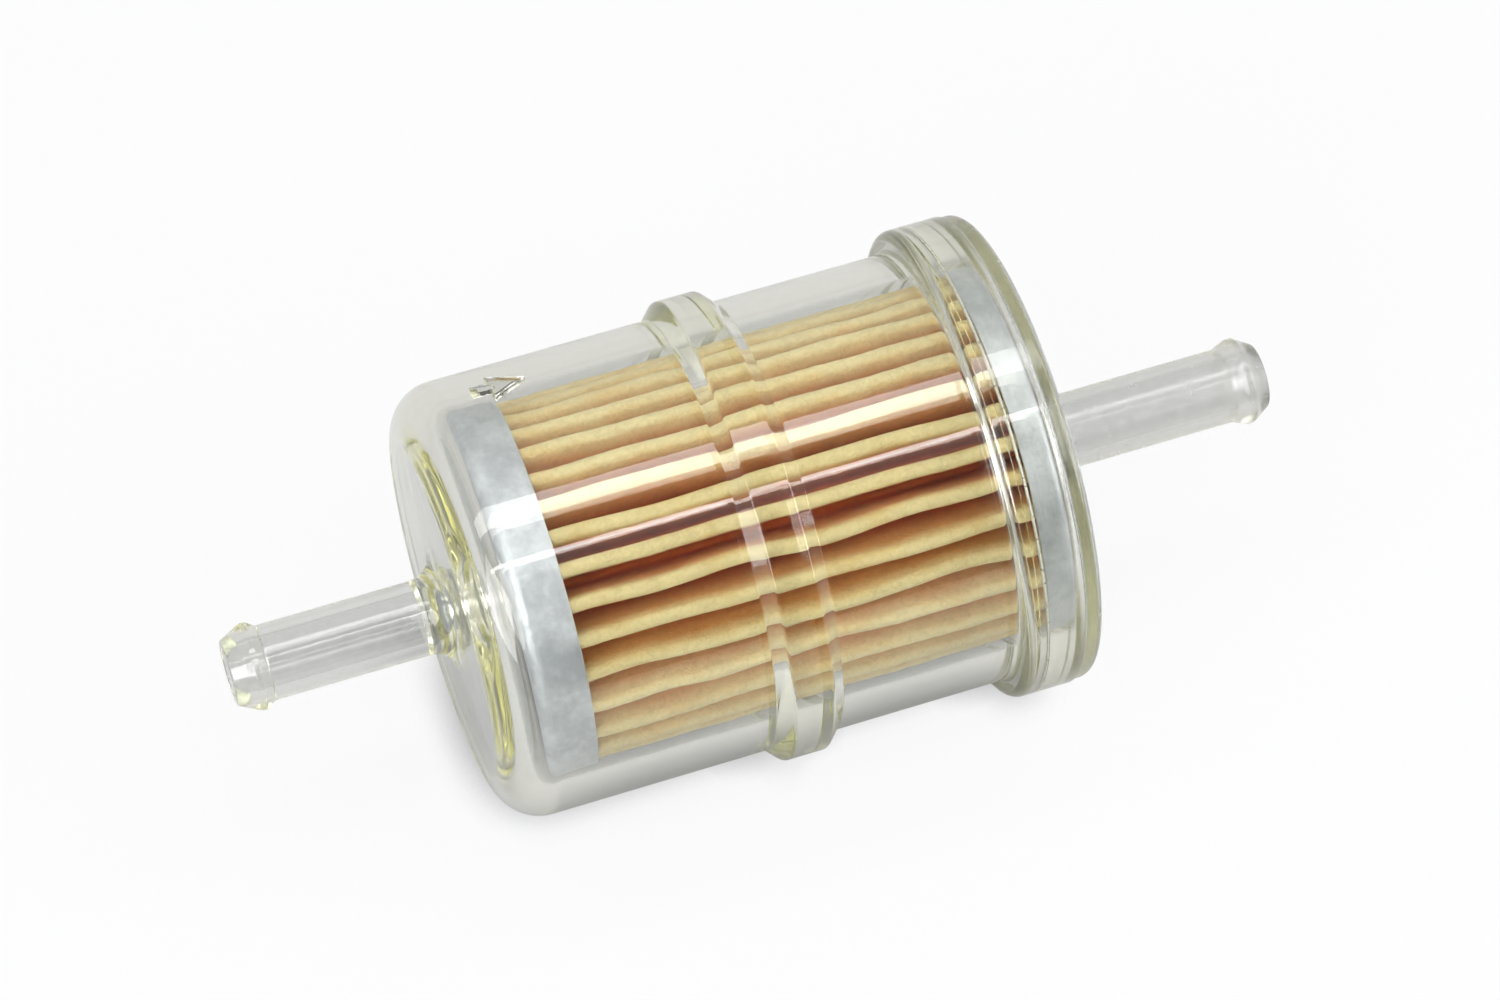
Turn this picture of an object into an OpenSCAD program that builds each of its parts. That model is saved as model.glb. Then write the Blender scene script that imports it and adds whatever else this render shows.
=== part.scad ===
// In-line fuel filter: a clear cup and a clear cover, welded together round a
// pleated paper element with metal end caps. Fuel flows along +X, in at the cup's
// nipple and out at the cover's. The origin is on the axis, half way between tips.

/* [Lengths along the flow] */
// Inlet nipple, from its tip to the end face of the cup
inlet_reach = 23.1; // [16:0.1:35]
// Cup, from its end face to the weld plane
cup_len = 57.2; // [48:0.1:80]
// Inside of the cover, from the weld plane to its inner face
cover_depth = 5.6; // [4.8:0.1:8]
// Outlet nipple, from the cover's face to its tip
outlet_reach = 25.1; // [16:0.1:35]

/* [Cup and cover] */
// Outer diameter of the barrel
barrel_d = 46.6; // [40:0.1:60]
// Wall of the barrel
barrel_wall = 3.0; // [2.4:0.1:4]
// End wall of the cup
end_wall = 3.0; // [2:0.1:4]
// Outer rounding at the end of the cup
cup_corner = 5.0; // [3:0.1:6]
// Inner rounding at the floor of the cup
floor_corner = 2.5; // [1:0.1:3]
// Wall of the cover at its nipple
cover_wall = 2.7; // [2:0.1:4]
// How far the cover's face falls back from the nipple to its rim
cover_fall = 2.0; // [0.5:0.1:2.4]
// Rounding of the cover's rim
rim_corner = 1.8; // [0.5:0.1:2.5]

/* [Band round the barrel] */
// From the end face of the cup to the band
band_at = 28.5; // [20:0.1:36]
// Width of the band along the barrel, at its foot
band_w = 7.2; // [5:0.1:10]
// How far each side of the band leans in from its foot to its top
band_lean = 1.5; // [0.2:0.1:1.8]
// Height of the band above the barrel
band_rise = 1.6; // [1.2:0.1:3]
// Rounding of the band's edges
band_corner = 0.6; // [0.2:0.1:0.8]

/* [Weld flanges] */
// Height of both flanges above the barrel
flange_rise = 2.2; // [1.8:0.1:4]
// Thickness of the cup's flange
cup_flange_t = 2.2; // [2:0.1:6]
// Rounding of the cup flange's shoulder
shoulder_corner = 1.4; // [0.3:0.1:1.5]
// Plain stretch between the cover's flange and the rounding of its rim
rim_land = 0.4; // [0.2:0.1:1]
// Step down from the cover's flange to its rim
rim_step = 0.2; // [0.1:0.1:0.6]
// Weld tongue: its distance from the inside of the barrel
tongue_in = 1.4; // [1:0.1:1.8]
// Width of the weld tongue
tongue_w = 1.5; // [1:0.1:1.8]
// Length of the weld tongue
tongue_len = 1.4; // [0.8:0.1:1.5]
// Clearance of the tongue at each side of its groove
weld_gap = 0.15; // [0.05:0.05:0.3]
// Melt left between the tongue and the bottom of its groove
melt_t = 0.2; // [0.1:0.05:0.4]
// Chamfer at the weld plane that the flash fills
flash_notch = 0.35; // [0.2:0.05:0.6]

/* [Hose nipples] */
// Outer diameter that the hose grips, 5/16 inch hose
hose_d = 8.0; // [6:0.1:10]
// Wall of both nipples round the fuel passage
nipple_wall = 1.3; // [1:0.1:1.6]
// How much wider the passage is where it goes through the floor and the cover, at each side
throat_step = 0.5; // [0.2:0.1:1]
// Height of the hose bead above the nipple
bead_rise = 0.65; // [0.3:0.05:1]
// Flat top of the hose bead
bead_land = 0.6; // [0.4:0.1:1]
// Lead-in of the inlet bead, from the tip to its flat top
inlet_bead_lead = 2.4; // [1.5:0.1:3.5]
// Back slope of the inlet bead
inlet_bead_back = 0.9; // [0.5:0.1:2.5]
// Lead-in of the outlet bead, from the tip to its flat top
outlet_bead_lead = 1.9; // [1.5:0.1:3.5]
// Back slope of the outlet bead
outlet_bead_back = 1.6; // [0.5:0.1:2.5]
// How much thinner the tip is than the nipple, at each side
tip_inset = 0.55; // [0.2:0.05:0.8]
// Fillet at the root of the inlet nipple
inlet_root = 2.6; // [1:0.1:4]
// Fillet at the root of the outlet nipple
outlet_root = 1.5; // [0.8:0.1:3]

/* [Filter element] */
// Gap for the fuel between the element and the barrel
flow_gap = 0.6; // [0.3:0.1:3]
// Gap for the fuel between the closed end cap and the floor of the cup
inlet_gap = 1.6; // [0.8:0.1:4]
// Thickness of the end caps' sheet metal
cap_sheet = 0.35; // [0.2:0.05:0.6]
// Depth of the closed end cap
inlet_cap_depth = 5.5; // [4:0.1:8]
// Depth of the open end cap
outlet_cap_depth = 3.7; // [3.4:0.1:8]
// Outer rounding of the end caps
cap_corner = 1.4; // [0.8:0.1:2]
// Thickness of the potting sealant in each end cap
sealant_t = 2.0; // [1.5:0.1:3]
// How deep the paper and the core tube stand in the sealant
potted = 1.2; // [0.6:0.1:1.4]
// How far the closed cap's sealant reaches inside the core tube
sealant_inside = 1.2; // [0.5:0.1:4]
// Number of pleats
pleats = 34; // [16:1:35]
// Thickness of the paper
paper_t = 0.5; // [0.3:0.05:0.6]
// Thickness of one folded pleat at its tip
pleat_w = 1.5; // [1.35:0.05:1.7]
// Thickness of one folded pleat at its root
pleat_root_w = 1.3; // [1.25:0.05:1.5]
// Clearance between the pleat tips and the end caps' rims
tip_gap = 0.15; // [0.05:0.05:1]
// Turn of the pleats about the axis, in degrees
pleat_turn = 5.9; // [0:0.1:22]

/* [Core tube] */
// Outer diameter of the core tube
core_d = 19.2; // [18:0.1:24]
// Thickness of the core tube
core_t = 0.4; // [0.3:0.05:0.8]
// Clearance between the core tube and the paper
core_gap = 0.1; // [0.05:0.05:0.5]
// Diameter of the holes in the core tube
core_hole_d = 2.4; // [1:0.1:3]
// Rings of holes along the core tube
core_rings = 9; // [4:1:12]
// Holes in each ring
core_holes = 8; // [4:1:10]

/* [Outlet seal] */
// Wall of the cover's spigot
spigot_wall = 2.0; // [1.2:0.1:3]
// Length of the cover's spigot
spigot_len = 5.0; // [4:0.1:8]
// Wall of the grommet's sleeve
sleeve_wall = 1.4; // [0.8:0.1:2]
// Length of the grommet's sleeve inside the end cap
sleeve_len = 3.4; // [2:0.1:4]
// Thickness of the grommet's flange
washer_t = 0.6; // [0.4:0.1:1.5]
// How far the grommet's flange reaches past its sleeve
washer_reach = 2.9; // [1:0.1:4]
// Length of the collar turned in from the open end cap
collar_len = 3.0; // [1.5:0.1:3.4]

/* [Flow arrow] */
// From the end face of the cup to the arrow's tail
arrow_at = 7.5; // [6:0.1:14]
// Length of the tail
arrow_tail_len = 2.0; // [1:0.1:4]
// Width of the tail
arrow_tail_w = 1.6; // [0.8:0.1:3]
// Length of the head
arrow_head_len = 3.9; // [2:0.1:6]
// Width of the head
arrow_head_w = 5.0; // [3:0.1:8]
// Height of the arrow above the barrel
arrow_rise = 0.5; // [0.2:0.1:1]
// Turn of the arrow about the axis, from the top, in degrees
arrow_turn = 29.7; // [0:0.1:90]

/* [Hidden] */
$fn = 96;

clear_plastic = [0.90, 0.93, 0.86, 0.35];
weld_plastic = [0.85, 0.88, 0.70, 0.6];
paper_tan = [0.88, 0.76, 0.52];
zinc_plate = [0.72, 0.76, 0.79];
core_steel = [0.55, 0.56, 0.58];
sealant_grey = [0.62, 0.60, 0.55];
rubber_black = [0.12, 0.12, 0.13];

// Stations along the flow
overall_len = inlet_reach + cup_len + cover_depth + cover_wall + outlet_reach;
x_inlet_tip = -overall_len / 2;
x_cup_end = x_inlet_tip + inlet_reach;
x_floor = x_cup_end + end_wall;
x_weld = x_cup_end + cup_len;
x_cover_inside = x_weld + cover_depth;
x_cover_face = x_cover_inside + cover_wall;
x_outlet_tip = overall_len / 2;
x_flange = x_weld - cup_flange_t;
x_band = x_cup_end + band_at;
x_inlet_throat = x_cup_end - inlet_root;
x_outlet_throat = x_cover_face + outlet_root;
x_rim_end = x_cover_face - cover_fall;
x_rim = x_rim_end - rim_corner - rim_land;

// Radii
barrel_r = barrel_d / 2;
cavity_r = barrel_r - barrel_wall;
band_r = barrel_r + band_rise;
flange_r = barrel_r + flange_rise;
rim_r = flange_r - rim_step;
nipple_r = hose_d / 2;
passage_r = nipple_r - nipple_wall;
bead_r = nipple_r + bead_rise;
tip_r = nipple_r - tip_inset;
throat_r = passage_r + throat_step;
band_foot = 0.2;
tip_break = 0.25;
rim_arc_end = 75;
arrow_bite = 1;

// Weld joint
tongue_r0 = cavity_r + tongue_in;
tongue_r1 = tongue_r0 + tongue_w;
groove_r0 = tongue_r0 - weld_gap;
groove_r1 = tongue_r1 + weld_gap;
groove_depth = tongue_len + melt_t;

// Element: stations and radii
cap_r = cavity_r - flow_gap;
cap_in_r = cap_r - cap_sheet;
cap_corner_in = cap_corner - cap_sheet;
x_closed = x_floor + inlet_gap;
x_open = x_cover_inside - washer_t;
x_paper0 = x_closed + cap_sheet + sealant_t - potted;
x_paper1 = x_open - cap_sheet - sealant_t + potted;
core_r = core_d / 2;
spigot_r = throat_r + spigot_wall;
collar_in_r = spigot_r + sleeve_wall;
collar_r = collar_in_r + cap_sheet;
sealant_hole_r = core_r - core_t - sealant_inside;

// Pleats
pleat_r = cap_in_r - tip_gap;
fold_r = pleat_w / 2;
floor_r = core_r + core_gap + paper_t;
half_pitch = 180 / pleats;
root_half_w = pleat_root_w / 2;
root_rise = 0.3;
root_rise_inside = 0.1;

// Points along an arc about c, from angle a0 to a1
function arc(c, r, a0, a1, n = 6) =
    [for (i = [0 : n]) c + r * [cos(a0 + (a1 - a0) * i / n), sin(a0 + (a1 - a0) * i / n)]];

// Points along the arc of radius r that rounds corner p, between its sides to a and to b
function round_corner(a, p, b, r, n = 4) =
    let (u = (a - p) / norm(a - p),
         v = (b - p) / norm(b - p),
         half = acos(u * v) / 2,
         c = p + (u + v) / norm(u + v) * r / sin(half),
         from = p + u * r / tan(half) - c,
         to = p + v * r / tan(half) - c,
         a0 = atan2(from[1], from[0]),
         sweep = atan2(from[0] * to[1] - from[1] * to[0], from * to))
    arc(c, r, a0, a0 + sweep, n);

// A point turned about the origin
function turned(p, a) = [p[0] * cos(a) - p[1] * sin(a), p[0] * sin(a) + p[1] * cos(a)];

// Outline of a nipple from its tip to its plain length, as [radius, distance from tip]
function nipple_end(lead, back) = [
    [passage_r, 0],
    [tip_r - tip_break, 0],
    [tip_r, tip_break],
    [bead_r, lead],
    [bead_r, lead + bead_land],
    [nipple_r, lead + bead_land + back]
];

// Outline of all the pleats on one side of the paper: w_tip and w_root are half
// the pleat's width there, bottom_r the fold between two pleats
function pleat_line(w_tip, w_root, root_r, bottom_r, n) =
    [for (k = [0 : pleats - 1])
        for (p = concat([[root_r, -w_root]],
                        arc([pleat_r - fold_r, 0], w_tip, -90, 90, n),
                        [[root_r, w_root]],
                        [turned([bottom_r, 0], half_pitch)]))
            turned(p, pleat_turn + k * 2 * half_pitch)];

// A profile of [radius, place along the flow] turned about the flow axis
module turned_solid(points) {
    rotate([0, 90, 0]) rotate_extrude() polygon(points);
}

// A plain ring about the flow axis
module ring(x0, x1, r0, r1) {
    turned_solid([[r0, x0], [r1, x0], [r1, x1], [r0, x1]]);
}

// Flow arrow, moulded on the barrel
module flow_arrow() {
    x_tail = x_cup_end + arrow_at;
    x_head = x_tail + arrow_tail_len;
    intersection() {
        ring(x_tail - arrow_bite, x_head + arrow_head_len + arrow_bite,
             barrel_r - arrow_bite, barrel_r + arrow_rise);
        rotate([-arrow_turn, 0, 0]) linear_extrude(barrel_d)
            polygon([[x_tail, -arrow_tail_w / 2], [x_head, -arrow_tail_w / 2],
                     [x_head, -arrow_head_w / 2], [x_head + arrow_head_len, 0],
                     [x_head, arrow_head_w / 2], [x_head, arrow_tail_w / 2],
                     [x_tail, arrow_tail_w / 2]]);
    }
}

// Cup with the inlet nipple, the band and the flange that the cover is welded to
module housing() {
    nipple = [for (p = nipple_end(inlet_bead_lead, inlet_bead_back)) [p[0], x_inlet_tip + p[1]]];
    root = arc([nipple_r + inlet_root, x_cup_end - inlet_root], inlet_root, 180, 90);
    corner = arc([barrel_r - cup_corner, x_cup_end + cup_corner], cup_corner, -90, 0);
    along = [0, 1];
    foot0 = [barrel_r, x_band];
    foot1 = [barrel_r, x_band + band_w];
    top0 = [band_r, x_band + band_lean];
    top1 = [band_r, x_band + band_w - band_lean];
    band = concat(
        round_corner(foot0 - along, foot0, top0, band_foot, 3),
        round_corner(foot0, top0, top1, band_corner),
        round_corner(top0, top1, foot1, band_corner),
        round_corner(top1, foot1, foot1 + along, band_foot, 3));
    shoulder = concat(
        [[barrel_r, x_flange]],
        arc([flange_r - shoulder_corner, x_flange + shoulder_corner], shoulder_corner, -90, 0));
    weld_face = [
        [flange_r, x_weld - flash_notch],
        [flange_r - flash_notch, x_weld],
        [groove_r1, x_weld],
        [groove_r1, x_weld - groove_depth],
        [groove_r0, x_weld - groove_depth],
        [groove_r0, x_weld],
        [cavity_r, x_weld]
    ];
    inside = concat(
        arc([cavity_r - floor_corner, x_floor + floor_corner], floor_corner, 0, -90),
        [[throat_r, x_floor],
         [throat_r, x_inlet_throat + throat_step],
         [passage_r, x_inlet_throat]]);
    color(clear_plastic) union() {
        turned_solid(concat(nipple, root, corner, band, shoulder, weld_face, inside));
        flow_arrow();
    }
}

// Cover with the outlet nipple, the weld tongue and the spigot that carries the element
module outlet_cover() {
    nipple = [for (p = nipple_end(outlet_bead_lead, outlet_bead_back)) [p[0], x_outlet_tip - p[1]]];
    root = arc([nipple_r + outlet_root, x_cover_face + outlet_root], outlet_root, 180, 270);
    rim = concat(
        arc([rim_r - rim_corner, x_rim_end - rim_corner], rim_corner, rim_arc_end, 0),
        [[rim_r, x_rim], [flange_r, x_rim]]);
    weld_face = [
        [flange_r, x_weld + flash_notch],
        [flange_r - flash_notch, x_weld],
        [tongue_r1, x_weld],
        [tongue_r1, x_weld - tongue_len],
        [tongue_r0, x_weld - tongue_len],
        [tongue_r0, x_weld],
        [cavity_r, x_weld]
    ];
    inside = concat(
        arc([cavity_r - rim_corner, x_cover_inside - rim_corner], rim_corner, 0, 90),
        [[spigot_r, x_cover_inside],
         [spigot_r, x_cover_inside - spigot_len],
         [throat_r, x_cover_inside - spigot_len],
         [throat_r, x_outlet_throat - throat_step],
         [passage_r, x_outlet_throat]]);
    color(clear_plastic) turned_solid(concat(nipple, root, rim, weld_face, inside));
}

// What the weld leaves: melt under the tongue and flash between the flanges
module weld_bead() {
    color(weld_plastic) {
        ring(x_weld - groove_depth, x_weld - tongue_len, groove_r0, groove_r1);
        turned_solid([[flange_r - flash_notch, x_weld],
                      [flange_r, x_weld - flash_notch],
                      [flange_r, x_weld + flash_notch]]);
    }
}

// Pleated paper, folded into a closed star round the core tube
module pleated_paper() {
    inside_r = floor_r - paper_t;
    outer_line = pleat_line(fold_r, root_half_w, floor_r + root_rise, floor_r, 6);
    inner_line = pleat_line(fold_r - paper_t, root_half_w - paper_t,
                            inside_r + root_rise_inside, inside_r, 4);
    color(paper_tan) translate([x_paper0, 0, 0]) rotate([0, 90, 0])
        linear_extrude(x_paper1 - x_paper0) difference() {
            polygon(outer_line);
            polygon(inner_line);
        }
}

// Tube that the pleats lean on, without its holes
module core_wall() {
    ring(x_paper0, x_paper1, core_r - core_t, core_r, $fn = 48);
}

// Perforated core tube
module core_tube() {
    hole_pitch = (x_paper1 - x_paper0 - 2 * potted) / (core_rings + 1);
    drill_clear = 0.5;
    color(core_steel) difference() {
        core_wall();
        for (i = [1 : core_rings])
            for (k = [0 : core_holes - 1])
                translate([x_paper0 + potted + i * hole_pitch, 0, 0])
                    rotate([(k + (i % 2) / 2) * 360 / core_holes, 0, 0])
                        translate([0, 0, core_r - core_t - drill_clear])
                            cylinder(d = core_hole_d, h = core_t + 2 * drill_clear, $fn = 16);
    }
}

// Closed end cap, pressed from sheet
module inlet_end_cap() {
    color(zinc_plate) turned_solid(concat(
        [[0, x_closed]],
        arc([cap_r - cap_corner, x_closed + cap_corner], cap_corner, -90, 0),
        [[cap_r, x_closed + inlet_cap_depth], [cap_in_r, x_closed + inlet_cap_depth]],
        arc([cap_r - cap_corner, x_closed + cap_corner], cap_corner_in, 0, -90),
        [[0, x_closed + cap_sheet]]));
}

// Open end cap, with a collar turned in round its hole
module outlet_end_cap() {
    color(zinc_plate) turned_solid(concat(
        [[collar_in_r, x_open]],
        arc([cap_r - cap_corner, x_open - cap_corner], cap_corner, 90, 0),
        [[cap_r, x_open - outlet_cap_depth], [cap_in_r, x_open - outlet_cap_depth]],
        arc([cap_r - cap_corner, x_open - cap_corner], cap_corner_in, 0, 90),
        [[collar_r, x_open - cap_sheet],
         [collar_r, x_open - collar_len],
         [collar_in_r, x_open - collar_len]]));
}

// Potting sealant in the closed end cap, with the paper and the core standing in it
module inlet_sealant() {
    x_bed = x_closed + cap_sheet;
    color(sealant_grey) difference() {
        turned_solid(concat(
            [[sealant_hole_r, x_bed]],
            arc([cap_r - cap_corner, x_closed + cap_corner], cap_corner_in, -90, 0),
            [[cap_in_r, x_bed + sealant_t], [sealant_hole_r, x_bed + sealant_t]]));
        pleated_paper();
        core_wall();
    }
}

// Potting sealant in the open end cap
module outlet_sealant() {
    x_bed = x_open - cap_sheet;
    color(sealant_grey) difference() {
        turned_solid(concat(
            [[collar_r, x_bed]],
            arc([cap_r - cap_corner, x_open - cap_corner], cap_corner_in, 90, 0),
            [[cap_in_r, x_bed - sealant_t], [collar_r, x_bed - sealant_t]]));
        pleated_paper();
        core_wall();
    }
}

// Rubber grommet that seals the open end cap on the cover's spigot
module outlet_grommet() {
    color(rubber_black) turned_solid([
        [spigot_r, x_open - sleeve_len],
        [collar_in_r, x_open - sleeve_len],
        [collar_in_r, x_open],
        [collar_in_r + washer_reach, x_open],
        [collar_in_r + washer_reach, x_cover_inside],
        [spigot_r, x_cover_inside]
    ]);
}

housing();
outlet_cover();
weld_bead();
pleated_paper();
core_tube();
inlet_end_cap();
outlet_end_cap();
inlet_sealant();
outlet_sealant();
outlet_grommet();
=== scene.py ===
import math

import bpy
import numpy as np
from mathutils import Matrix, Vector


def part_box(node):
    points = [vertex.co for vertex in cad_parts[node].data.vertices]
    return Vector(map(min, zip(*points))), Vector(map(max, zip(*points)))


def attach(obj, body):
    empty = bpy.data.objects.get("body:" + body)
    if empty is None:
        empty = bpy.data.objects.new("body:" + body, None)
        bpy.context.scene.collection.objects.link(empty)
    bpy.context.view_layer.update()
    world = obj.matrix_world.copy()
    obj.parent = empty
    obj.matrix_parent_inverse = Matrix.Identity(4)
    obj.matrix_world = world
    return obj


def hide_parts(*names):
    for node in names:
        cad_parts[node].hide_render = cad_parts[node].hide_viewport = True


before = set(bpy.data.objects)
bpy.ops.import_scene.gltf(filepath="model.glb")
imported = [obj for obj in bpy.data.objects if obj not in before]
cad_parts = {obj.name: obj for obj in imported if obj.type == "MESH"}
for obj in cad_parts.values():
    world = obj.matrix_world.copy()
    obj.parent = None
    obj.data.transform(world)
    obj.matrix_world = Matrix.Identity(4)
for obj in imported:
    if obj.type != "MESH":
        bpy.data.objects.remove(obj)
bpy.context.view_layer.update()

# Camera
# A long lens well above the filter and a little to its left, so that the inlet nipple
# points to the lower left and the outlet nipple to the upper right.
lens_back = Vector((-0.1727, -0.5056, 0.8453)).normalized()
lens_right = Vector((0.9463, -0.3232, 0.0)).normalized()
lens_up = lens_back.cross(lens_right)
lens_distance = 0.550
aim_right = 0.0004956   # how far the aim is from the filter's middle, as the lens sees it
aim_up = 0.0024909
camera = bpy.data.objects.new("studio_camera", bpy.data.cameras.new("studio_camera"))
camera.data.lens = 126.3
camera.data.sensor_width = 36.0
camera.data.clip_start = 0.01
camera.data.clip_end = 20.0
aim = Vector((-0.00075, 0.0, 0.0)) + lens_right * aim_right + lens_up * aim_up
camera.matrix_world = Matrix.Translation(aim + lens_back * lens_distance) @ Matrix(
    (lens_right, lens_up, lens_back)).transposed().to_4x4()
bpy.context.scene.collection.objects.link(camera)
bpy.context.scene.camera = camera


# Core tube
# A thin tube of perforated steel sheet in the middle of the element, which the pleats
# lean on. It is punched flat, then rolled, and keeps a dull grey, slightly mottled skin.
def put(tree, kind, inputs=None, **settings):
    """Adds a shader node. Each input is a plain value, or the output that feeds it."""
    made = tree.nodes.new("ShaderNode" + kind)
    for name, value in settings.items():
        setattr(made, name, value)
    for name, value in (inputs or {}).items():
        if isinstance(value, bpy.types.NodeSocket):
            tree.links.new(value, made.inputs[name])
        else:
            made.inputs[name].default_value = value
    return made


def ramp(tree, factor, *stops):
    """A colour ramp on factor, eased between its stops. Each stop is its place and its
    colour, in rising order; a single number stands for a grey."""
    made = put(tree, "ValToRGB", {0: factor})
    made.color_ramp.interpolation = "EASE"
    for i, (place, colour) in enumerate(stops):
        if i < 2:
            stop = made.color_ramp.elements[i]
            stop.position = place
        else:
            stop = made.color_ramp.elements.new(place)
        red_green_blue = colour if isinstance(colour, tuple) else (colour,) * 3
        stop.color = (*red_green_blue, 1.0)
    return made.outputs[0]


def mix(tree, factor, low, high, blend="MIX"):
    """Colour low where factor is 0 and high where it is 1."""
    made = put(tree, "Mix", {0: factor, 6: low, 7: high}, data_type="RGBA", blend_type=blend)
    return made.outputs[2]


def own_place(tree):
    """The place on the piece, which a pattern follows."""
    return put(tree, "TexCoord").outputs["Object"]


def new_finish(name):
    """A new material: itself, its node tree and its Principled shader."""
    material = bpy.data.materials.new(name)
    material.use_nodes = True
    return material, material.node_tree, material.node_tree.nodes["Principled BSDF"]


def open_group(name, inputs, outputs):
    """An empty shader group with number inputs (name, value) and number outputs."""
    group = bpy.data.node_groups.new(name, "ShaderNodeTree")
    for label, value in inputs:
        socket = group.interface.new_socket(label, in_out="INPUT", socket_type="NodeSocketFloat")
        socket.default_value = value
    for label in outputs:
        group.interface.new_socket(label, in_out="OUTPUT", socket_type="NodeSocketFloat")
    return group, group.nodes.new("NodeGroupInput"), group.nodes.new("NodeGroupOutput")


def place_group(tree, group, values=None):
    """Puts a group in a material with its own values."""
    made = tree.nodes.new("ShaderNodeGroup")
    made.node_tree = group
    for label, value in (values or {}).items():
        made.inputs[label].default_value = value
    return made


# Mottling: soft blotches and a finer grain, as on sheet metal, glue and rubber
mottle, mottle_in, mottle_out = open_group(
    "mottling",
    [("Blotch size", 120.0), ("Grain size", 900.0), ("Blotch share", 0.6)],
    ["Mask", "Grain"])
place = own_place(mottle)
blotch = put(mottle, "TexNoise", {"Vector": place, "Scale": mottle_in.outputs["Blotch size"],
                                  "Detail": 3.0, "Roughness": 0.55})
grain = put(mottle, "TexNoise", {"Vector": place, "Scale": mottle_in.outputs["Grain size"],
                                 "Detail": 2.0, "Roughness": 0.6})
part_blotch = put(mottle, "Math", {0: blotch.outputs[0], 1: mottle_in.outputs["Blotch share"]},
                  operation="MULTIPLY")
rest_share = put(mottle, "Math", {0: 1.0, 1: mottle_in.outputs["Blotch share"]},
                 operation="SUBTRACT")
part_grain = put(mottle, "Math", {0: grain.outputs[0], 1: rest_share.outputs[0]},
                 operation="MULTIPLY")
both = put(mottle, "Math", {0: part_blotch.outputs[0], 1: part_grain.outputs[0]},
           operation="ADD")
mottle.links.new(both.outputs[0], mottle_out.inputs["Mask"])
mottle.links.new(grain.outputs[0], mottle_out.inputs["Grain"])


def mottled(name, sizes, colours, roughness, rough_from="Mask"):
    """A mottled finish: its colour and its roughness each run between two stops of the
    mottling. sizes are the blotches, the grain and the blotches' share."""
    material, tree, skin = new_finish(name)
    marks = place_group(tree, mottle, dict(zip(("Blotch size", "Grain size", "Blotch share"),
                                               sizes)))
    tree.links.new(ramp(tree, marks.outputs["Mask"], *colours), skin.inputs["Base Color"])
    tree.links.new(ramp(tree, marks.outputs[rough_from], *roughness), skin.inputs["Roughness"])
    return material, tree, skin, marks


def dress(material, *nodes):
    """Gives CAD nodes that stay in view their finish."""
    for node in nodes:
        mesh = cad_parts[node].data
        mesh.materials.clear()
        mesh.materials.append(material)


core_finish, tree, skin, marks = mottled(
    "core_steel", (260.0, 1500.0, 0.7),
    [(0.35, (0.30, 0.30, 0.31)), (0.65, (0.52, 0.53, 0.55))],
    [(0.3, 0.32), (0.7, 0.50)], rough_from="Grain")
skin.inputs["Metallic"].default_value = 1.0
dress(core_finish, "core_tube")


# Pleated paper
# Resin-treated filter paper, folded into 34 pleats and closed into a star round the core.
# The folds are pressed by a machine, then handled, so they waver a little along the flow.
MM = 0.001
paper_low, paper_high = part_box("pleated_paper")
paper_x0 = paper_low.x / MM
paper_x1 = paper_high.x / MM
pleats = 34
pleat_turn = 7.9        # degrees, the first pleat's place at an even pitch
tip_r = 19.2
fold_r = 0.75           # half the thickness of a pleat at its rounded tip
root_half = 0.65        # half its thickness where its flanks end
floor_r = 10.2          # the folds between the pleats, at the core
root_rise = 0.3         # from the floor between two pleats to the ends of their flanks
paper_t = 0.5
inner_root_rise = 0.1   # the same on the paper's inner side
front_side = 210.9      # degrees; pleats crowd a quarter turn before it and open out after
crowding = (9.0, -2.0, 1.5)     # degrees, of 1 - cosine, sine and sine of the double angle
star_turn = 0.3         # degrees, the whole star
held_len = 6.0          # at each end, where the glue stops the wavering
cut_len = 1.3           # at each end, straight to the cut edge
sway_size = 0.26        # tips moving sideways
lift_size = 0.12        # tips moving out and in
tips_in = 0.05
flutter_size = 0.10     # flanks bowing
nap_size = 0.03
flank_points = 7
tip_points = 11
rows_along = 57


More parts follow.
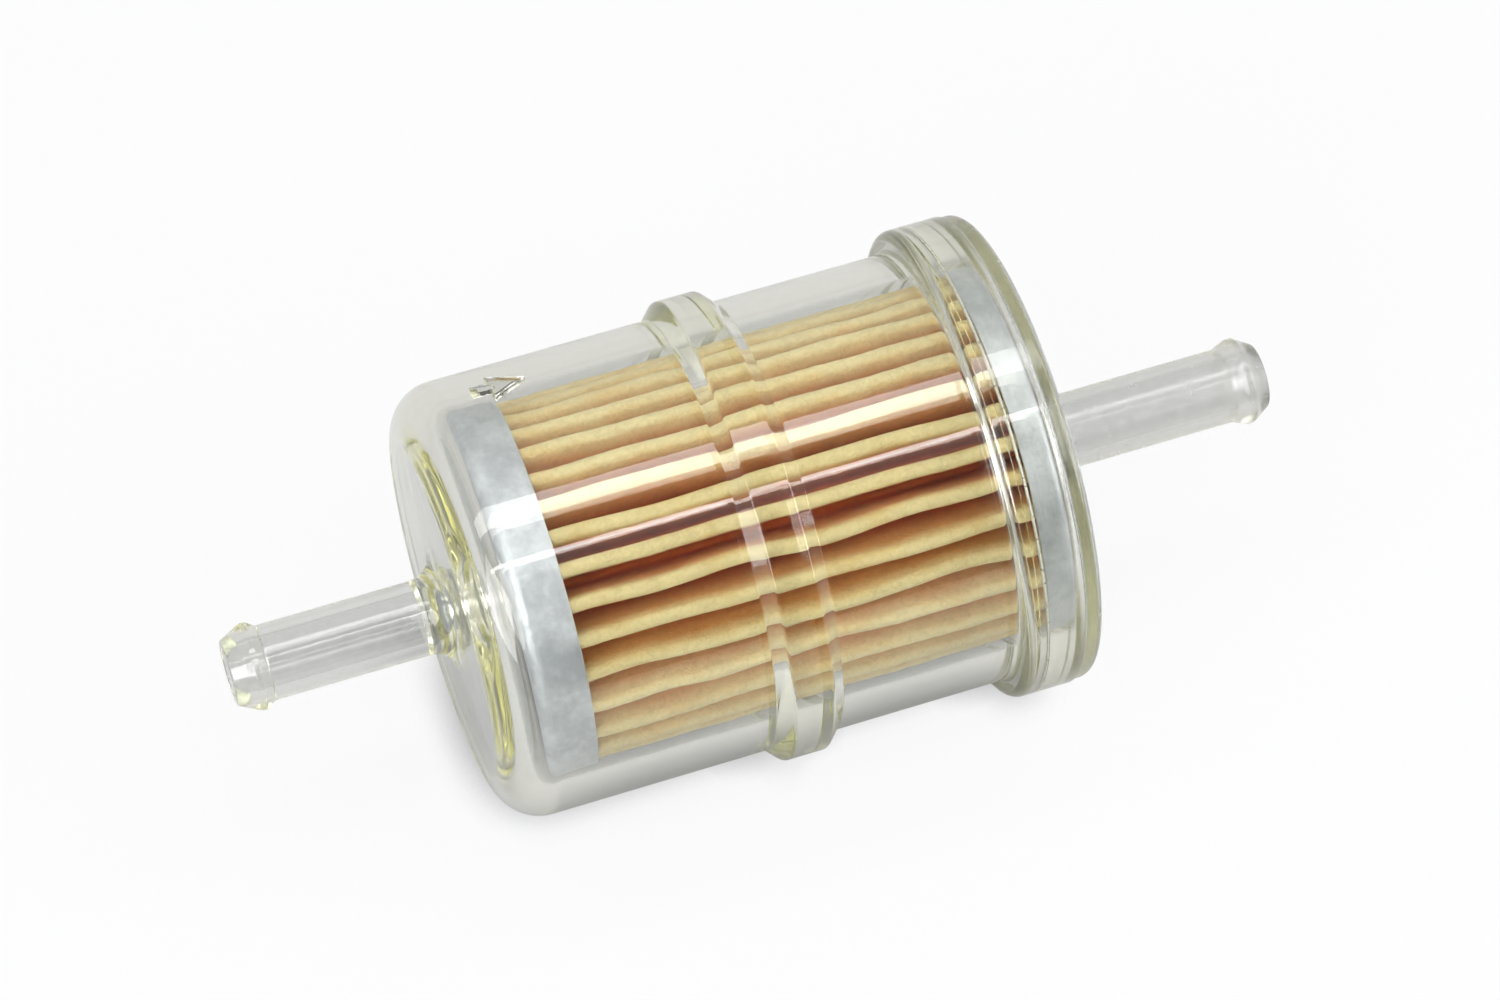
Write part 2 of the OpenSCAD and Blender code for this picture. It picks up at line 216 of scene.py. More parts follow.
def net(name, points, close_v=True, flip=False):
    """A smooth mesh over a grid of points in mm, (rows u, columns v, 3): one face for each
    cell of the grid, with the last row joined to the first. The last column is joined to
    the first too, or else each of the two is drawn together by a fan round its middle."""
    rows, columns = points.shape[:2]
    index = np.arange(rows * columns).reshape(rows, columns)
    u0 = np.arange(rows)
    v0 = np.arange(columns if close_v else columns - 1)
    u1 = (u0 + 1) % rows
    v1 = (v0 + 1) % columns
    cells = np.stack([index[np.ix_(u0, v0)], index[np.ix_(u1, v0)],
                      index[np.ix_(u1, v1)], index[np.ix_(u0, v1)]], axis=-1).reshape(-1, 4)
    places = points.reshape(-1, 3)
    fans = np.zeros((0, 3), int)
    if not close_v:
        places = np.concatenate([places, points[:, [0, -1]].mean(axis=0)])
        first = np.full(rows, rows * columns)
        fans = np.concatenate([np.stack([index[u1, 0], index[u0, 0], first], axis=-1),
                               np.stack([index[u0, -1], index[u1, -1], first + 1], axis=-1)])
    if flip:
        cells = cells[:, ::-1]
        fans = fans[:, ::-1]
    corners = np.concatenate([cells.reshape(-1), fans.reshape(-1)])
    starts = np.concatenate([np.arange(len(cells)) * 4, cells.size + np.arange(len(fans)) * 3])
    mesh = bpy.data.meshes.new(name)
    mesh.vertices.add(len(places))
    mesh.vertices.foreach_set("co", (places.reshape(-1) * MM).astype(np.float32))
    mesh.loops.add(len(corners))
    mesh.loops.foreach_set("vertex_index", corners.astype(np.int32))
    mesh.polygons.add(len(starts))
    mesh.polygons.foreach_set("loop_start", starts.astype(np.int32))
    mesh.polygons.foreach_set("use_smooth", np.ones(len(starts), bool))
    mesh.update(calc_edges=True)
    mesh.validate()
    return mesh


def settle(name, mesh, finish, slot, *nodes):
    """Makes the piece: its mesh with one finish, riding on the filter, in place of nodes."""
    piece = bpy.data.objects.new(name, mesh)
    bpy.context.scene.collection.objects.link(piece)
    mesh.materials.append(finish)
    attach(piece, "root")
    if nodes:
        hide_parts(*nodes)


def waver(seed, count, along, periods):
    """Slow random waves along the flow, one row for each of count things: a sum of sines
    whose strengths and starts are drawn once, scaled so that the largest is about 1."""
    draw = np.random.default_rng(seed)
    total = np.zeros((count, len(along)))
    for period in periods:
        size = draw.normal(0.0, 1.0, (count, 1))
        start = draw.uniform(0.0, 2.0 * np.pi, (count, 1))
        total += size * np.sin(2.0 * np.pi * along[None, :] / period + start)
    return total / (1.6 * len(periods) ** 0.5)


def pleat_section(half_tip, half_root, root_r, bottom_r):
    """One pleat's outline as (radius, sideways) pairs from the fold on its one side to just
    before the fold on its other: up a straight flank, round the tip on a half circle, and
    down again. The third row is the share of depth, 0 at the tip and 1 at the fold."""
    flank = np.linspace(0.0, 1.0, flank_points)[:-1]
    tip_mid = tip_r - fold_r
    turn = np.linspace(-0.5 * np.pi, 0.5 * np.pi, tip_points)
    rise_r = root_r + (tip_mid - root_r) * flank
    rise_w = half_root + (half_tip - half_root) * flank
    half_pitch = math.pi / pleats
    r = np.concatenate([[bottom_r * math.cos(half_pitch)], rise_r,
                        tip_mid + half_tip * np.cos(turn), rise_r[::-1]])
    w = np.concatenate([[-bottom_r * math.sin(half_pitch)], -rise_w,
                        half_tip * np.sin(turn), rise_w[::-1]])
    return r, w, np.clip((tip_r - r) / (tip_r - floor_r), 0.0, 1.0)


def pleat_angles():
    """The pleats' angles in degrees. They crowd on one side of the star and open out on the
    other, as it is closed by hand: a cosine and two small sines are added to an even pitch."""
    even = pleat_turn + np.arange(pleats) * 360.0 / pleats
    a = np.radians(even - front_side)
    cosine, sine, double = crowding
    return (even + cosine * (1.0 - np.cos(a)) + sine * np.sin(a) + double * np.sin(2.0 * a)
            + star_turn)


def paper_star():
    """The paper's skin: the outer outline carried along the flow with its pleats wavering,
    then the inner outline carried back, closed at both ends. Tips sway sideways and lift,
    flanks flutter, and a fine random nap roughens it all; folds at the core stay put."""
    along = np.concatenate([[paper_x0],
                            np.linspace(paper_x0 + cut_len, paper_x1 - cut_len, rows_along),
                            [paper_x1]])
    held = np.clip(np.minimum(along - paper_x0, paper_x1 - along) / held_len, 0.0, 1.0)
    held = held * held * (3.0 - 2.0 * held)
    sway = waver(11, pleats, along, (61.0, 34.0, 17.0)) * held * sway_size
    lift = waver(12, pleats, along, (47.0, 23.0, 9.0)) * held * lift_size - tips_in
    flutter = waver(13, pleats * 4, along, (21.0, 8.5, 5.1)) * held * flutter_size
    draw = np.random.default_rng(14)
    angle = np.radians(pleat_angles())[:, None, None]
    skins = []
    depths = []
    for half_tip, half_root, root_r, bottom_r, inner in (
            (fold_r, root_half, floor_r + root_rise, floor_r, False),
            (fold_r - paper_t, root_half - paper_t, floor_r - paper_t + inner_root_rise,
             floor_r - paper_t, True)):
        r, w, depth = pleat_section(half_tip, half_root, root_r, bottom_r)
        count = len(r)
        shallow = 1.0 - depth
        nap = draw.normal(0.0, nap_size, (pleats, count, len(along))) * held
        rr = r[None, :, None] + (lift[:, None, :] + nap) * shallow[None, :, None]
        crease = np.where(np.sign(w)[None, :, None] > 0, flutter[:pleats, None, :],
                          flutter[pleats:2 * pleats, None, :])
        ww = (w[None, :, None] + sway[:, None, :] * (shallow ** 0.7)[None, :, None]
              + crease * np.sin(np.pi * depth)[None, :, None])
        # an angle of 0 is straight down, and it grows towards +Y
        y = rr * np.sin(angle) + ww * np.cos(angle)
        z = -(rr * np.cos(angle) - ww * np.sin(angle))
        x = np.broadcast_to(along[None, None, :], y.shape)
        skin = np.stack([x, y, z], axis=-1).reshape(pleats * count, len(along), 3)
        deep = np.broadcast_to(depth[None, :, None],
                               (pleats, count, len(along))).reshape(pleats * count, -1)
        skins.append(skin[:, ::-1] if inner else skin)
        depths.append(deep[:, ::-1] if inner else deep)
    return np.concatenate(skins, axis=1), np.concatenate(depths, axis=1)


star, star_depth = paper_star()
paper_mesh = net("pleated_paper_folds", star)
attribute = paper_mesh.attributes.new("depth", "FLOAT", "POINT")
attribute.data.foreach_set("value", star_depth.reshape(-1).astype(np.float32))

# Fibres: the mat of short fibres on paper, and the clouds where it is thicker or thinner
fibres, fibres_in, fibres_out = open_group(
    "paper_fibres", [("Fibre size", 1400.0), ("Cloud size", 160.0)], ["Fibres", "Clouds"])
place = own_place(fibres)
strands = put(fibres, "TexNoise", {"Vector": place, "Scale": fibres_in.outputs["Fibre size"],
                                   "Detail": 4.0, "Roughness": 0.7, "Distortion": 1.2})
clouds = put(fibres, "TexNoise", {"Vector": place, "Scale": fibres_in.outputs["Cloud size"],
                                  "Detail": 4.0, "Roughness": 0.6})
fibres.links.new(strands.outputs[0], fibres_out.inputs["Fibres"])
fibres.links.new(clouds.outputs[0], fibres_out.inputs["Clouds"])

paper_finish, tree, skin = new_finish("filter_paper")
mat = place_group(tree, fibres)
depth = put(tree, "Attribute", attribute_name="depth").outputs["Fac"]
# The colour runs by depth from pale yellow at the pleat tips to deep red-brown at the folds. The
# darkening and reddening towards the folds is painted shade for the deep creases, and the
# paper's clouds shift it unevenly.
uneven = put(tree, "Math", {0: mat.outputs["Clouds"], 1: 0.30, 2: -0.15},
             operation="MULTIPLY_ADD").outputs[0]
uneven_depth = put(tree, "Math", {0: depth, 1: uneven}, operation="ADD").outputs[0]
fold_shaded_paper = ramp(tree, uneven_depth, (0.0, (0.93, 0.80, 0.43)), (0.08, (0.91, 0.70, 0.32)),
            (0.25, (0.87, 0.49, 0.16)), (1.0, (0.80, 0.23, 0.05)))
speck = ramp(tree, mat.outputs["Fibres"], (0.30, (0.86, 0.83, 0.78)), (0.62, 1.0))
tree.links.new(mix(tree, 0.8, fold_shaded_paper, speck, "MULTIPLY"), skin.inputs["Base Color"])
skin.inputs["Roughness"].default_value = 0.9
skin.inputs["Specular IOR Level"].default_value = 0.2
skin.inputs["Sheen Weight"].default_value = 0.15
fuzz = put(tree, "Bump", {"Strength": 0.7, "Distance": 0.00025,
                          "Height": mat.outputs["Fibres"]})
tree.links.new(fuzz.outputs[0], skin.inputs["Normal"])
settle("pleated_paper_folds", paper_mesh, paper_finish, "filter_paper", "pleated_paper")


# End caps
# Shallow cups drawn from thin plated steel sheet, one closed and one with a collar round
# its hole, glued on the ends of the paper. The drawn rims keep small draw wrinkles, and
# the sheet has shallow dents and fine marks round it from the tool.
sheet_t = 0.35
cap_turn_r = 1.4        # outside, where the flat face turns into the rim
cap_slack = 0.02        # how far the rim stays inside the CAD node
edge_round = 0.12       # the cut edge of the rim
hole_round = 0.3        # where the face turns into the collar
collar_round = 0.1      # the cut edge of the collar
wrinkle_waves = (5, 9, 14, 23, 37)      # waves in one turn
wrinkle_size = 0.07
wrinkle_in = 0.06       # how far the wrinkled rim is pulled in all round


def rounded(corners, steps=10, near=0.12):
    """A turned profile from its corners, (x, r, rounding) in mm. Each corner is replaced by
    an arc that touches both its sides, and that takes less than half of either; a point
    near each end of a straight stretch keeps it straight when the surface is shaded smooth.
    The profile is closed."""
    p = np.array([(c[0], c[1]) for c in corners], float)
    rounding = np.array([c[2] for c in corners], float)
    before = np.roll(p, 1, axis=0) - p
    after = np.roll(p, -1, axis=0) - p
    len_b = np.linalg.norm(before, axis=1)
    len_a = np.linalg.norm(after, axis=1)
    before /= len_b[:, None]
    after /= len_a[:, None]
    half = 0.5 * np.arccos(np.clip((before * after).sum(1), -1.0, 1.0))
    room = 0.49 * np.minimum(len_b, len_a)
    back = np.minimum(rounding / np.tan(half), room)
    radius = back * np.tan(half)
    middle = before + after
    middle /= np.linalg.norm(middle, axis=1)[:, None]
    centre = p + middle * (radius / np.sin(half))[:, None]
    start = p + before * back[:, None]
    end = p + after * back[:, None]
    a0 = np.arctan2(*(start - centre).T[::-1])
    sweep = (np.arctan2(*(end - centre).T[::-1]) - a0 + np.pi) % (2.0 * np.pi) - np.pi
    share = np.linspace(0.0, 1.0, steps + 1)[None, :]
    angle = a0[:, None] + sweep[:, None] * share
    arc = centre[:, None, :] + radius[:, None, None] * np.stack(
        [np.cos(angle), np.sin(angle)], axis=-1)
    straight = np.roll(start, -1, axis=0) - end
    length = np.linalg.norm(straight, axis=1)
    step = np.minimum(near, 0.3 * length)[:, None]
    heading = straight / length[:, None]
    first = end + heading * step
    last = end + straight - heading * step
    return np.concatenate([arc, first[:, None], last[:, None]], axis=1).reshape(-1, 2)


def turned(profile, turns=256):
    """A profile of (x, r) points turned about the flow axis: the point at angle a is
    (x, r sin a, r cos a), so the grid is (turns, profile, 3)."""
    a = np.linspace(0.0, 2.0 * np.pi, turns, endpoint=False)
    x, r = profile.T
    return np.stack([np.broadcast_to(x, (len(a), len(x))),
                     np.sin(a)[:, None] * r, np.cos(a)[:, None] * r], axis=-1)


def drawn_cup(node, s, hole_r, collar_len):
    """An end cap's grid: its sheet's profile turned about the axis, with the rim pushed in
    and out by small draw wrinkles that fade towards the flat face. s is 1 where the cup
    opens towards +X and -1 where it opens towards -X."""
    low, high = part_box(node)
    face = (low.x if s > 0 else high.x) / MM
    edge = (high.x if s > 0 else low.x) / MM
    r = high.z / MM - cap_slack
    inner_face = face + s * sheet_t
    corners = [(face, hole_r, hole_round if collar_len else 0.0), (face, r, cap_turn_r),
               (edge, r, edge_round), (edge, r - sheet_t, edge_round),
               (inner_face, r - sheet_t, cap_turn_r - sheet_t)]
    if collar_len:
        corners += [(inner_face, hole_r + sheet_t, hole_round),
                    (face + s * collar_len, hole_r + sheet_t, collar_round),
                    (face + s * collar_len, hole_r, collar_round)]
    else:
        corners += [(inner_face, hole_r, 0.0)]
    profile = rounded(corners, steps=8)
    # a closed cap leaves out the wall of its middle hole, and fans close both its faces
    grid = turned(profile if collar_len else profile[:-2])
    a = np.arctan2(grid[..., 1], grid[..., 2])
    rim = np.clip((grid[..., 0] - face) * s / abs(edge - face), 0.0, 1.0)
    outer = np.clip((np.hypot(grid[..., 1], grid[..., 2]) - (r - 1.5)) / 1.2, 0.0, 1.0)
    draw = np.random.default_rng(21 if s > 0 else 22)
    push = sum(draw.normal(0.0, 0.4) * np.sin(k * a + draw.uniform(0.0, 6.28))
               for k in wrinkle_waves)
    push = (np.clip(push, -1.0, 1.0) * wrinkle_size - wrinkle_in) * rim * outer
    grid[..., 1] += push * np.sin(a)
    grid[..., 2] += push * np.cos(a)
    return grid


plated_finish, tree, skin, marks = mottled(
    "plated_steel", (210.0, 1300.0, 0.7),
    [(0.34, (0.62, 0.66, 0.71)), (0.64, (0.84, 0.88, 0.93))],
    [(0.30, 0.50), (0.70, 0.64)])
skin.inputs["Metallic"].default_value = 0.8
dents = put(tree, "Bump", {"Strength": 0.6, "Distance": 0.0005,
                           "Height": marks.outputs["Mask"]})
# the tool's marks are noise drawn out round the cap: fine along the axis, long across it
round_marks = put(tree, "VectorMath", {0: own_place(tree), 1: (1.0, 0.06, 0.06)},
                  operation="MULTIPLY")
rings = put(tree, "TexNoise", {"Vector": round_marks.outputs[0], "Scale": 1800.0,
                               "Detail": 2.0})
drawn_lines = put(tree, "Bump", {"Strength": 0.5, "Distance": 0.0001,
                                 "Height": rings.outputs[0], "Normal": dents.outputs[0]})
tree.links.new(drawn_lines.outputs[0], skin.inputs["Normal"])

for node, name, side, hole_r, collar in (
        ("inlet_end_cap", "inlet_cap_drawn", 1, 0.5, 0.0),
        ("outlet_end_cap", "outlet_cap_drawn", -1, 6.6, 3.0)):
    grid = drawn_cup(node, side, hole_r, collar)
    settle(name, net(name, grid, close_v=collar > 0.0, flip=side > 0), plated_finish,
           "plated_steel", node)


# Potting sealant
# The glue poured into each end cap, in which the paper and the core stand. It has set
# with a dull, slightly sunken skin.
sealant_finish = mottled(
    "potting_sealant", (200.0, 700.0, 0.8),
    [(0.35, (0.30, 0.28, 0.23)), (0.65, (0.44, 0.41, 0.34))],
    [(0.3, 0.35), (0.7, 0.6)])[0]
dress(sealant_finish, "inlet_sealant", "outlet_sealant")


# Outlet grommet
# A moulded black rubber ring that seals the open end cap on the cover's spigot and keeps
# the element from rattling.
rubber_finish = mottled(
    "grommet_rubber", (300.0, 2500.0, 0.5),
    [(0.35, (0.018, 0.018, 0.020)), (0.65, (0.045, 0.045, 0.048))],
    [(0.3, 0.5), (0.7, 0.7)])[0]
dress(rubber_finish, "outlet_grommet")


# Cup
# The clear plastic body with the inlet nipple, a band and the weld flange, moulded in one
# shot. Thick places look faintly green-yellow, and the nipple is duller than the barrel.
cup_low, cup_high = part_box("housing")
tip_x = cup_low.x / MM
weld_x = cup_high.x / MM
flange_r = cup_high.z / MM
flange_rise = 2.2
flange_w = 2.2
barrel_r = flange_r - flange_rise
wall_t = 3.0
cavity_r = barrel_r - wall_t
end_x = tip_x + 23.1    # the closed end's outer face
floor_x = end_x + wall_t
nipple_r = 4.0
bead_r = 4.65
mouth_r = 3.45          # the nipple's end, where its lead-in cone starts
bore_r = 2.7
throat_r = 3.2
band_x = end_x + 28.5
band_w = 7.2
band_rise = 1.6
band_lean = 1.5         # how far each side of the band leans in
fuse = 0.02             # clear pieces overlap by this, and look like one plastic there

# Flow marks: the faint waves that moulding leaves in clear plastic, and dust-fine haze
flow, flow_in, flow_out = open_group(
    "moulding_flow", [("Wave size", 90.0), ("Haze size", 700.0)], ["Waves", "Haze"])
place = own_place(flow)
waves = put(flow, "TexNoise", {"Vector": place, "Scale": flow_in.outputs["Wave size"],
                               "Detail": 2.0, "Roughness": 0.4, "Distortion": 0.6})
haze = put(flow, "TexNoise", {"Vector": place, "Scale": flow_in.outputs["Haze size"],
                              "Detail": 3.0, "Roughness": 0.6})
flow.links.new(waves.outputs[0], flow_out.inputs["Waves"])
flow.links.new(haze.outputs[0], flow_out.inputs["Haze"])

clear_finish, tree, skin = new_finish("clear_plastic")
marks = place_group(tree, flow)
# The plastic's grey tint is painted shade: it darkens whatever is seen through it, standing in
# for greyer surroundings, and the haze varies it a little at random.
tree.links.new(ramp(tree, marks.outputs["Haze"], (0.35, (0.83, 0.835, 0.83)), (0.65, 0.87)),
               skin.inputs["Base Color"])
clear_skin = ramp(tree, marks.outputs["Haze"], (0.40, 0.015), (0.75, 0.06))
dull_skin = ramp(tree, marks.outputs["Haze"], (0.40, 0.20), (0.75, 0.28))
# the cover is dull all over, and the inlet nipple partly
along = put(tree, "SeparateXYZ", {0: own_place(tree)}).outputs["X"]
on_cover = put(tree, "MapRange", {"Value": along, "From Min": 0.0255, "From Max": 0.0285})
on_inlet = put(tree, "MapRange", {"Value": along, "From Min": -0.0355, "From Max": -0.0385,
                                  "To Max": 0.4})
dulled = put(tree, "Math", {0: on_cover.outputs[0], 1: on_inlet.outputs[0]},
             operation="MAXIMUM")
tree.links.new(mix(tree, dulled.outputs[0], clear_skin, dull_skin), skin.inputs["Roughness"])
skin.inputs["Metallic"].default_value = 0.0
skin.inputs["IOR"].default_value = 1.5
skin.inputs["Transmission Weight"].default_value = 1.0
ripple = put(tree, "Bump", {"Strength": 0.06, "Distance": 0.0004,
                            "Height": marks.outputs["Waves"]})
tree.links.new(ripple.outputs[0], skin.inputs["Normal"])
tint = put(tree, "VolumeAbsorption", {"Color": (0.95, 0.945, 0.66, 1.0), "Density": 33.0})
tree.links.new(tint.outputs[0], tree.nodes["Material Output"].inputs["Volume"])

cup_profile = rounded([
    (tip_x, bore_r, 0.15), (tip_x, mouth_r, 0.25), (tip_x + 2.4, bead_r, 0.35),
    (tip_x + 3.0, bead_r, 0.35), (tip_x + 3.9, nipple_r, 0.6), (end_x, nipple_r, 2.6),
    (end_x, barrel_r, 5.0), (band_x, barrel_r, 0.2),
    (band_x + band_lean, barrel_r + band_rise, 0.6),
    (band_x + band_w - band_lean, barrel_r + band_rise, 0.6), (band_x + band_w, barrel_r, 0.2),
    (weld_x - flange_w, barrel_r, 0.4), (weld_x - flange_w, flange_r, 1.4),
    (weld_x + fuse, flange_r, 0.1), (weld_x + fuse, cavity_r, 0.1),
    (floor_x, cavity_r, 2.5), (floor_x, throat_r, 0.4), (end_x - 2.1, throat_r, 0.2),
    (end_x - 2.6, bore_r, 0.2)], steps=12)
settle("clear_cup", net("clear_cup", turned(cup_profile, turns=240), flip=True),
       clear_finish, "clear_plastic", "housing")


# Flow arrow
# A raised arrow moulded in one with the barrel. It is a piece of its own here, and its
# underside dips into the barrel's skin, where the two clear plastics are one.
arrow_x = end_x + 7.5
arrow_turn = math.radians(29.7)
arrow_outline = np.array([(0.0, -0.8), (2.0, -0.8), (2.0, -2.5), (5.9, 0.0), (2.0, 2.5),
                          (2.0, 0.8), (0.0, 0.8)])
arrow_heart = np.array([2.6, 0.0])
arrow_rise = 0.5


def arrow_shell():
    """The arrow as loops from its underside's heart out to the outline, up the wall and in
    over the top. Each loop is the outline drawn in towards the heart, and is bent round the
    barrel: its sideways place over the radius is the angle about the axis."""
    after = np.roll(arrow_outline, -1, axis=0)
    share = np.linspace(0.0, 1.0, 14, endpoint=False)
    share = np.concatenate([[0.03], share[1:], [0.97]])[None, :, None]
    outline = (arrow_outline[:, None, :]
               + (after - arrow_outline)[:, None, :] * share).reshape(-1, 2)
    # each loop's share of the outline, and its height over the barrel
    levels = np.array([(0.02, -fuse), (0.5, -fuse), (1.0, -fuse), (1.0, 0.05),
                       (1.0, arrow_rise - 0.12), (0.985, arrow_rise - 0.04),
                       (0.955, arrow_rise), (0.90, arrow_rise), (0.5, arrow_rise),
                       (0.02, arrow_rise)])
    loops = arrow_heart + (outline[:, None, :] - arrow_heart) * levels[None, :, :1]
    r = barrel_r + np.broadcast_to(levels[None, :, 1], loops.shape[:2])
    a = arrow_turn + loops[..., 1] / barrel_r
    return np.stack([arrow_x + loops[..., 0], r * np.sin(a), r * np.cos(a)], axis=-1)


settle("flow_arrow", net("flow_arrow", arrow_shell(), close_v=False), clear_finish,
       "clear_plastic")


# Cover
# The clear end cover with the outlet nipple and the spigot that carries the element. Its
# edge is welded to the cup's flange, so the two plastics run into each other there.
out_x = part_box("outlet_cover")[1].x / MM
face_x = out_x - 25.1   # where the domed face meets the nipple
inner_x = face_x - 2.7
spigot_r = 5.2
spigot_end = inner_x - 5.0
rim_step = 0.2
cover_profile = rounded([
    (weld_x, cavity_r, 0.1), (weld_x, flange_r, 0.1), (weld_x + 4.1, flange_r, 0.12),
    (weld_x + 4.25, flange_r - rim_step, 0.1), (face_x - 2.21, flange_r - rim_step, 1.8),
    (face_x, nipple_r, 1.5), (out_x - 4.1, nipple_r, 0.6), (out_x - 2.5, bead_r, 0.35),
    (out_x - 1.9, bead_r, 0.35), (out_x, mouth_r, 0.25), (out_x, bore_r, 0.15),
    (face_x + 1.5, bore_r, 0.2), (face_x + 1.0, throat_r, 0.2), (spigot_end, throat_r, 0.2),
    (spigot_end, spigot_r, 0.2), (inner_x, spigot_r, 0.3), (inner_x, cavity_r, 1.8)], steps=14)
settle("clear_cover", net("clear_cover", turned(cover_profile), flip=True),
       clear_finish, "clear_plastic", "outlet_cover")


# Weld flash
# The plastic that spin welding squeezes out between the two flanges: a thin, slightly
# frosted rib round the joint. The melt inside the joint is one with the cup and the cover.
flash_finish, tree, skin = new_finish("weld_flash")
marks = place_group(tree, flow, {"Wave size": 400.0, "Haze size": 1500.0})
tree.links.new(ramp(tree, marks.outputs["Haze"], (0.3, (0.80, 0.80, 0.62)),
                    (0.7, (0.93, 0.93, 0.82))), skin.inputs["Base Color"])
tree.links.new(ramp(tree, marks.outputs["Haze"], (0.3, 0.25), (0.7, 0.5)),
               skin.inputs["Roughness"])
skin.inputs["IOR"].default_value = 1.5
skin.inputs["Transmission Weight"].default_value = 0.6
flash_half = 0.22
flash_profile = rounded([
    (weld_x - flash_half, flange_r - 0.15, 0.08), (weld_x, flange_r + 0.03, 0.12),
    (weld_x + flash_half, flange_r - 0.15, 0.08), (weld_x, flange_r - 0.35, 0.08)], steps=4)
settle("weld_flash", net("weld_flash", turned(flash_profile), flip=True),
       flash_finish, "weld_plastic", "weld_bead")


# Studio
# A pale floor that the filter rests on with its band and flange, one long soft lamp
# overhead, a strip and a dim panel beside it, two large fill lamps low in front, and a
# soft grey room all round that is dark where the barrel would mirror it.
under_band = Vector((-0.0005, 0.0, -0.02492))
under_flange = Vector((0.0224, 0.0, -0.02551))
floor_lean = (under_flange.z - under_band.z) / (under_flange.x - under_band.x)
reach = 3.0
floor_xy = np.array([(-reach, -reach), (reach, -reach), (reach, reach), (-reach, reach)])
floor_z = under_band.z + (floor_xy[:, 0] - under_band.x) * floor_lean
floor_mesh = bpy.data.meshes.new("studio_floor")
floor_mesh.from_pydata(np.column_stack([floor_xy, floor_z]).tolist(), [], [(0, 1, 2, 3)])
floor_finish, tree, skin = new_finish("studio_floor")
skin.inputs["Roughness"].default_value = 0.9
skin.inputs["Specular IOR Level"].default_value = 0.1
spot = put(tree, "TexNoise", {"Vector": own_place(tree), "Scale": 3.0, "Detail": 1.0})
tree.links.new(ramp(tree, spot.outputs[0], (0.3, (0.030, 0.030, 0.031)),
                    (0.7, (0.032, 0.032, 0.033))), skin.inputs["Base Color"])
# The floor glows, with a painted contact shadow close under the filter: over a narrow edge where
# it is seen directly, and over a wider one, and dimmer, where it is seen in or through plastic.
# The glow is also painted dimmer towards the back, and for all but the camera's rays it is
# painted brighter in front of the filter, as light that the floor throws on it.
straight = put(tree, "LightPath").outputs["Is Camera Ray"]
shade_width = put(tree, "MapRange", {"Value": straight, "To Min": 0.019, "To Max": 0.0065})
nearby = put(tree, "AmbientOcclusion", {"Distance": shade_width.outputs[0]}, samples=8)
# painted contact shadow: the glow is darker where the floor lies close under the filter
painted_contact_shadow = ramp(tree, nearby.outputs["AO"], (0.2, (0.32, 0.32, 0.33)), (0.85, 1.0))
behind = put(tree, "SeparateXYZ", {0: own_place(tree)}).outputs["Y"]
# painted light: the glow dims towards the back, and the floor that the filter sees is brighter
# in front of it
painted_back_fall_off = ramp(tree, behind, (0.20, 1.0), (0.80, (0.66, 0.66, 0.67)))
in_front = put(tree, "MapRange", {"Value": behind, "From Min": -0.09, "From Max": -0.04,
                                  "To Min": 1.1, "To Max": 0.8}).outputs[0]
seen = put(tree, "Mix", {0: straight, 2: in_front, 3: 1.0}).outputs[0]
glow = mix(tree, 1.0, painted_contact_shadow, painted_back_fall_off, "MULTIPLY")
tree.links.new(mix(tree, 1.0, glow, seen, "MULTIPLY"), skin.inputs["Emission Color"])
skin.inputs["Emission Strength"].default_value = 0.91
floor_mesh.materials.append(floor_finish)
floor = bpy.data.objects.new("studio_floor", floor_mesh)
bpy.context.scene.collection.objects.link(floor)


def lamp(name, length, width, matrix, radiance):
    """A soft rectangular lamp that shines along its own -Z. Its power is pi times its
    radiance times its area."""
    light = bpy.data.lights.new(name, "AREA")
    light.shape = "RECTANGLE"
    light.size = length
    light.size_y = width
    light.energy = math.pi * radiance * width * length
    holder = bpy.data.objects.new(name, light)
    holder.matrix_world = matrix
    bpy.context.scene.collection.objects.link(holder)


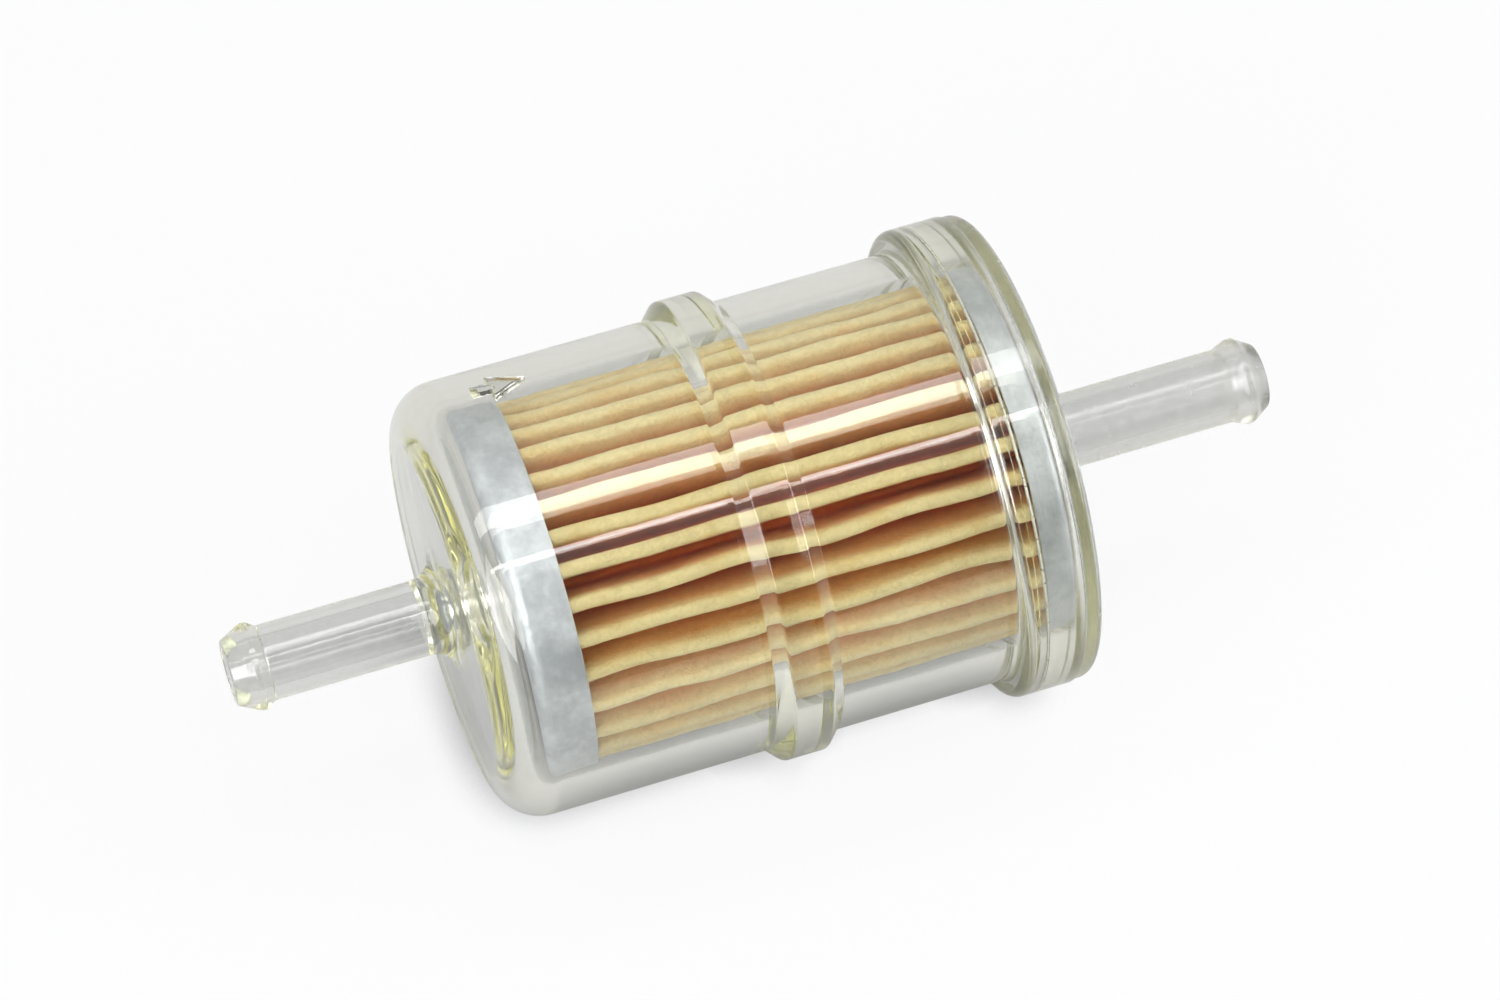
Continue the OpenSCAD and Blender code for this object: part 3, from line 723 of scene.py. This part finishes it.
# Long lamps along the flow: width, degrees from straight up towards +Y, distance, radiance
for name, width, turn, distance, radiance in (
        ("overhead_softbox", 0.130, 8.0, 0.65, 6.8),
        ("strip_lamp", 0.0216, -17.2, 0.62, 12.0),
        ("side_panel", 0.08, -21.8, 0.64, 0.6)):
    lamp(name, 1.2, width, Matrix.Rotation(math.radians(-turn), 4, "X")
         @ Matrix.Translation((0.08, 0.0, distance)), radiance)

# Square fills that face the filter, each from its own heading
for name, heading in (("left_fill", (-0.65, -0.48, 0.59)), ("right_fill", (0.75, -0.42, 0.51))):
    heading = Vector(heading)
    lamp(name, 0.5, 0.5, Matrix.Translation(heading.normalized() * 0.75)
         @ heading.to_track_quat("Z", "Y").to_matrix().to_4x4(), 7.0)

world = bpy.data.worlds.new("studio_room")
world.use_nodes = True
bpy.context.scene.world = world
tree = world.node_tree
heading = put(tree, "SeparateXYZ", {0: put(tree, "TexCoord").outputs["Generated"]})
# from dark in front to bright at the back, 0 to 1
back_share = put(tree, "Math", {0: heading.outputs["Y"], 1: 0.5, 2: 0.5},
                 operation="MULTIPLY_ADD").outputs[0]
room = ramp(tree, back_share, (0.0, 0.11), (0.40, 0.11), (0.52, 0.28),
            (0.68, (0.85, 0.85, 0.86)), (1.0, 0.90))
# pale side walls, away from the slice of the room that the barrel mirrors to the camera
mirrored_x = 0.17
aside = put(tree, "Math", {0: heading.outputs["X"], 1: mirrored_x}, operation="SUBTRACT")
aside = put(tree, "Math", {0: aside.outputs[0]}, operation="ABSOLUTE")
walls = ramp(tree, aside.outputs[0], (0.20, 0.0), (0.50, 0.75))
room = mix(tree, 1.0, room, walls, "LIGHTEN")
low_down = ramp(tree, heading.outputs["Z"], (0.0, 0.70), (0.45, 1.0))
tree.links.new(mix(tree, 1.0, room, low_down, "MULTIPLY"),
               tree.nodes["Background"].inputs["Color"])
tree.nodes["Background"].inputs["Strength"].default_value = 1.0
bpy.context.scene.view_settings.view_transform = "Standard"
light_paths = bpy.context.scene.cycles
light_paths.max_bounces = 32
light_paths.glossy_bounces = 32
light_paths.transmission_bounces = 32
light_paths.diffuse_bounces = 6
